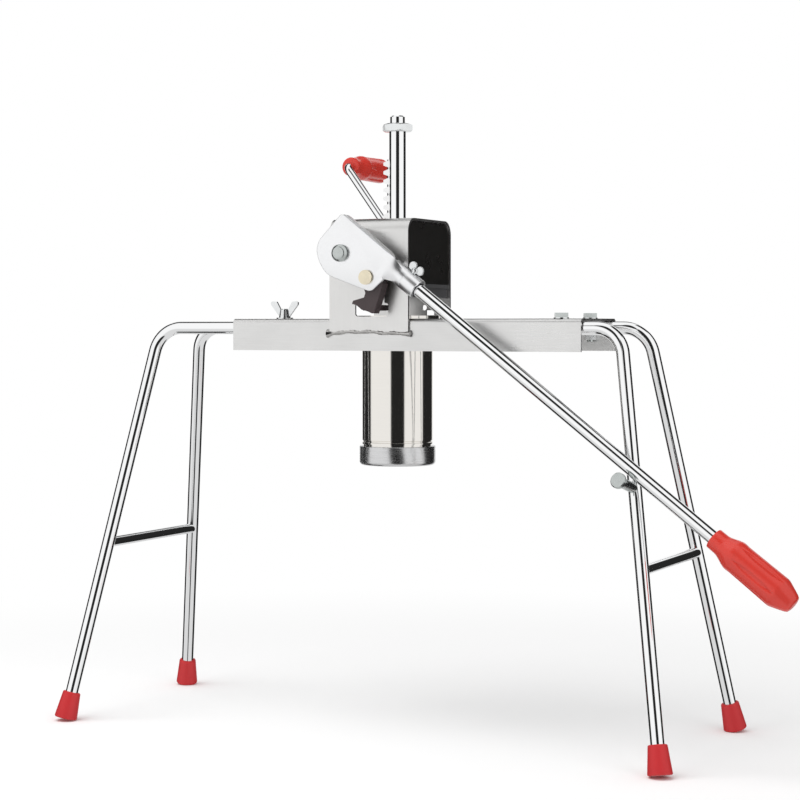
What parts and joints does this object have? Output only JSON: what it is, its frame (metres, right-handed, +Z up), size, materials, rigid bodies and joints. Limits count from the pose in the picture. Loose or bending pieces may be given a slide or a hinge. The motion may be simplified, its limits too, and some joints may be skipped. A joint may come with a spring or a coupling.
{
  "type": "pasta extruder",
  "caption": "Hand-cranked dough press on splayed tube legs: rack plunger in a barrel over a round die, rear crank to wind it, side lever with pawl to press it.",
  "frame": {"origin": "on the floor under the barrel's axis", "axes": "+X along the beam towards the lever's grip, -Y to the front where the lever is, +Z up"},
  "size_m": [0.753, 0.3015, 0.6013],
  "materials": {
    "plated_sheet": "bright zinc plate, faint rolling marks",
    "tube_chrome": "polished tube",
    "barrel_steel": "turned and polished tube",
    "cover_black": "black sheet, satin",
    "skirt_grey": "dark grey sheet",
    "brass": "turned brass",
    "die_bronze": "bronze die",
    "seal_rubber": "black nitrile",
    "foot_rubber": "red rubber",
    "grip_plastic": "red moulded plastic, satin",
    "cast_dark": "dark cast iron, as cast",
    "fastener": "zinc-plated fastener",
    "weld": "dull weld metal"
  },
  "bodies": {
    "stand": {"beam": "plated_sheet", "housing": "plated_sheet", "housing_welds": "weld", "end_cover_left": "cover_black", "end_cover_right": "cover_black", "end_skirt_left": "skirt_grey", "end_skirt_right": "skirt_grey", "rod_guide": "brass", "shaft_bush_front": "brass", "shaft_bush_rear": "brass", "barrel": "barrel_steel", "barrel_screws": "fastener", "die_plate": "die_bronze", "leg_front_right": "tube_chrome", "leg_rear_right": "tube_chrome", "crossbar_right": "tube_chrome", "foot_front_right": "foot_rubber", "foot_rear_right": "foot_rubber", "leg_bolts": "fastener", "leg_bolt_washers": "fastener", "leg_bolt_nuts": "fastener", "lever_peg": "fastener"},
    "left_frame": {"leg_front_left": "tube_chrome", "leg_rear_left": "tube_chrome", "crossbar_left": "tube_chrome", "foot_front_left": "foot_rubber", "foot_rear_left": "foot_rubber", "clamp_plate": "plated_sheet", "clamp_bolt": "fastener", "clamp_washer": "fastener"},
    "clamp_nut": {"wing_nut": "fastener"},
    "plunger": {"plunger_rod": "tube_chrome", "rack": "plated_sheet", "rod_nut": "fastener", "piston": "barrel_steel", "piston_seal": "seal_rubber", "piston_nut": "fastener"},
    "crank": {"crank_shaft": "tube_chrome", "pinion": "plated_sheet", "crank_hub": "plated_sheet", "hub_screw": "fastener", "crank_arm": "tube_chrome", "pivot_cap": "fastener"},
    "crank_handle": {"crank_grip": "grip_plastic"},
    "lever": {"lever_plate": "plated_sheet", "lever_hub": "plated_sheet", "lever_socket": "plated_sheet", "lever_tube": "tube_chrome", "lever_grip": "grip_plastic", "pawl_rivet": "brass"},
    "lever_screw": {"set_screw": "fastener"},
    "pawl_body": {"pawl": "cast_dark"},
    "cap": {"die_cap": "barrel_steel"}
  },
  "joints": [
    {"name": "rack_slide", "type": "slide", "parent": "stand", "child": "plunger", "axis": [0, 0, -1], "range_m": [-0.012, 0.084]},
    {"name": "crank_turn", "type": "hinge", "parent": "stand", "child": "crank", "pos_m": [-0.02553, 0, 0.4652], "axis": [0, 1, 0], "range_deg": [-52, 357]},
    {"name": "crank_grip_spin", "type": "hinge", "parent": "crank", "child": "crank_handle", "pos_m": [-0.0958, 0.12, 0.56086], "axis": [0, 1, 0], "continuous": true},
    {"name": "lever_swing", "type": "hinge", "parent": "stand", "child": "lever", "pos_m": [-0.02553, -0.074, 0.4652], "axis": [0, -1, 0], "range_deg": [-0.4, 30]},
    {"name": "pawl_swing", "type": "hinge", "parent": "lever", "child": "pawl_body", "pos_m": [0.00192, -0.064, 0.44178], "axis": [0, -1, 0], "range_deg": [-54, 2]},
    {"name": "set_screw_turn", "type": "hinge", "parent": "lever", "child": "lever_screw", "pos_m": [0.04102, -0.06306, 0.43773], "axis": [0.5948, 0, 0.8039], "range_deg": [-90, 90]},
    {"name": "left_frame_slide", "type": "slide", "parent": "stand", "child": "left_frame", "axis": [1, 0, 0], "range_m": [-0.015, 0.05]},
    {"name": "wing_nut_turn", "type": "hinge", "parent": "left_frame", "child": "clamp_nut", "pos_m": [-0.126, 0, 0.404], "axis": [0, 0, 1], "continuous": true},
    {"name": "die_cap_turn", "type": "hinge", "parent": "stand", "child": "cap", "pos_m": [0, 0, 0.27], "axis": [0, 0, 1], "continuous": true}
  ],
  "couplings": [
    {"joint": "crank_turn", "follows": "rack_slide", "rad_per_m": 73.92},
    {"joint": "pawl_swing", "follows": "lever_swing", "ratio": -1.75}
  ]
}
